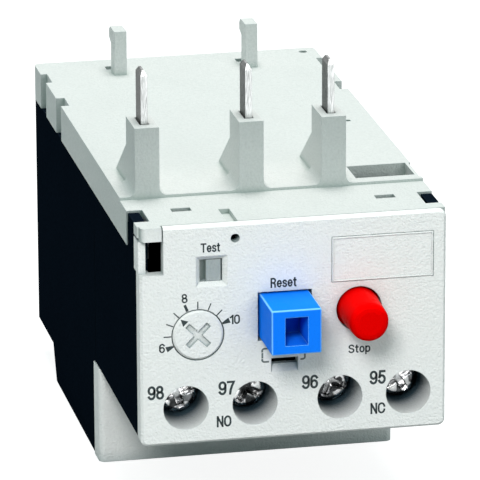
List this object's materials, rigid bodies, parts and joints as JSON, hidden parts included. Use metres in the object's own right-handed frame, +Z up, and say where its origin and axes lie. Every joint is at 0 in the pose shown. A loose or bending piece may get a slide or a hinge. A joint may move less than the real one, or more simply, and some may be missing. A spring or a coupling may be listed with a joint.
{
  "type": "thermal overload relay",
  "caption": "Plug-in three-pole thermal overload relay with current dial, reset and stop buttons, test slide and screw terminals.",
  "frame": {"origin": "centre of the underside of the lower block, which is the lowest face", "axes": "+X to the right seen from the front, +Y to the rear, +Z up; the control face looks along -Y and the pole pins point up"},
  "size_m": [0.045, 0.096, 0.0653],
  "materials": {
    "housing_black": "black glass-filled nylon, fine spark-eroded texture",
    "cover_grey": "pale warm grey nylon, fine texture",
    "face_grey": "pale grey face, slightly smoother",
    "blue_plastic": "bright blue, satin gloss",
    "red_plastic": "bright red, gloss",
    "pin_steel": "tinned copper alloy blade, bright",
    "screw_steel": "zinc-plated steel",
    "terminal_brass": "nickel-plated brass",
    "bimetal": "rolled bimetal strip",
    "heater_copper": "resistance alloy sleeve",
    "slide_amber": "moulded comb"
  },
  "bodies": {
    "root": {"base_housing": "housing_black", "top_cover": "cover_grey", "front_cover": "face_grey", "terminal_cover": "face_grey", "label_plate": "face_grey", "main_pin_1": "pin_steel", "heater_1": "heater_copper", "bimetal_1": "bimetal", "load_bar_1": "pin_steel", "main_pin_2": "pin_steel", "heater_2": "heater_copper", "bimetal_2": "bimetal", "load_bar_2": "pin_steel", "main_pin_3": "pin_steel", "heater_3": "heater_copper", "bimetal_3": "bimetal", "load_bar_3": "pin_steel", "aux_terminal_95": "terminal_brass", "aux_terminal_96": "terminal_brass", "aux_terminal_97": "terminal_brass", "aux_terminal_98": "terminal_brass"},
    "reset_button": {"reset_button": "blue_plastic"},
    "stop_button": {"stop_button": "red_plastic"},
    "current_dial": {"current_dial": "face_grey"},
    "test_slide": {"test_slide": "cover_grey"},
    "trip_slide": {"trip_slide": "slide_amber"},
    "aux_screw_95": {"aux_screw_95": "screw_steel"},
    "aux_clamp_95": {"aux_clamp_95": "screw_steel"},
    "aux_screw_96": {"aux_screw_96": "screw_steel"},
    "aux_clamp_96": {"aux_clamp_96": "screw_steel"},
    "aux_screw_97": {"aux_screw_97": "screw_steel"},
    "aux_clamp_97": {"aux_clamp_97": "screw_steel"},
    "aux_screw_98": {"aux_screw_98": "screw_steel"},
    "aux_clamp_98": {"aux_clamp_98": "screw_steel"}
  },
  "joints": [
    {"name": "reset_press", "type": "slide", "parent": "root", "child": "reset_button", "axis": [0, 1, 0], "range_m": [0, 0.0025], "stiffness_N_per_m": 600, "springref_m": -0.001},
    {"name": "stop_press", "type": "slide", "parent": "root", "child": "stop_button", "axis": [0, 1, 0], "range_m": [0, 0.0025], "stiffness_N_per_m": 600, "springref_m": -0.001},
    {"name": "dial_turn", "type": "hinge", "parent": "root", "child": "current_dial", "pos_m": [-0.014, -0.0526, 0.0305], "axis": [0, 1, 0], "range_deg": [-67.5, 112.5]},
    {"name": "test_shift", "type": "slide", "parent": "root", "child": "test_slide", "axis": [-1, 0, 0], "range_m": [0, 0.0009], "stiffness_N_per_m": 400, "springref_m": -0.0005},
    {"name": "trip_shift", "type": "slide", "parent": "root", "child": "trip_slide", "axis": [1, 0, 0], "range_m": [0, 0.0015], "stiffness_N_per_m": 300, "springref_m": -0.0005},
    {"name": "aux_clamp_95_draw", "type": "slide", "parent": "root", "child": "aux_clamp_95", "axis": [0, -1, 0], "range_m": [0, 0.0024]},
    {"name": "aux_screw_95_turn", "type": "hinge", "parent": "root", "child": "aux_screw_95", "pos_m": [0.0169, -0.0449, 0.0196], "axis": [0, 1, 0], "range_deg": [0, 1440]},
    {"name": "aux_clamp_96_draw", "type": "slide", "parent": "root", "child": "aux_clamp_96", "axis": [0, -1, 0], "range_m": [0, 0.0024]},
    {"name": "aux_screw_96_turn", "type": "hinge", "parent": "root", "child": "aux_screw_96", "pos_m": [0.0068, -0.0449, 0.0196], "axis": [0, 1, 0], "range_deg": [0, 1440]},
    {"name": "aux_clamp_97_draw", "type": "slide", "parent": "root", "child": "aux_clamp_97", "axis": [0, -1, 0], "range_m": [0, 0.0024]},
    {"name": "aux_screw_97_turn", "type": "hinge", "parent": "root", "child": "aux_screw_97", "pos_m": [-0.0057, -0.0449, 0.0196], "axis": [0, 1, 0], "range_deg": [0, 1440]},
    {"name": "aux_clamp_98_draw", "type": "slide", "parent": "root", "child": "aux_clamp_98", "axis": [0, -1, 0], "range_m": [0, 0.0024]},
    {"name": "aux_screw_98_turn", "type": "hinge", "parent": "root", "child": "aux_screw_98", "pos_m": [-0.0158, -0.0449, 0.0196], "axis": [0, 1, 0], "range_deg": [0, 1440]}
  ],
  "couplings": [
    {"joint": "aux_screw_95_turn", "follows": "aux_clamp_95_draw", "rad_per_m": 10472},
    {"joint": "aux_screw_96_turn", "follows": "aux_clamp_96_draw", "rad_per_m": 10472},
    {"joint": "aux_screw_97_turn", "follows": "aux_clamp_97_draw", "rad_per_m": 10472},
    {"joint": "aux_screw_98_turn", "follows": "aux_clamp_98_draw", "rad_per_m": 10472}
  ]
}
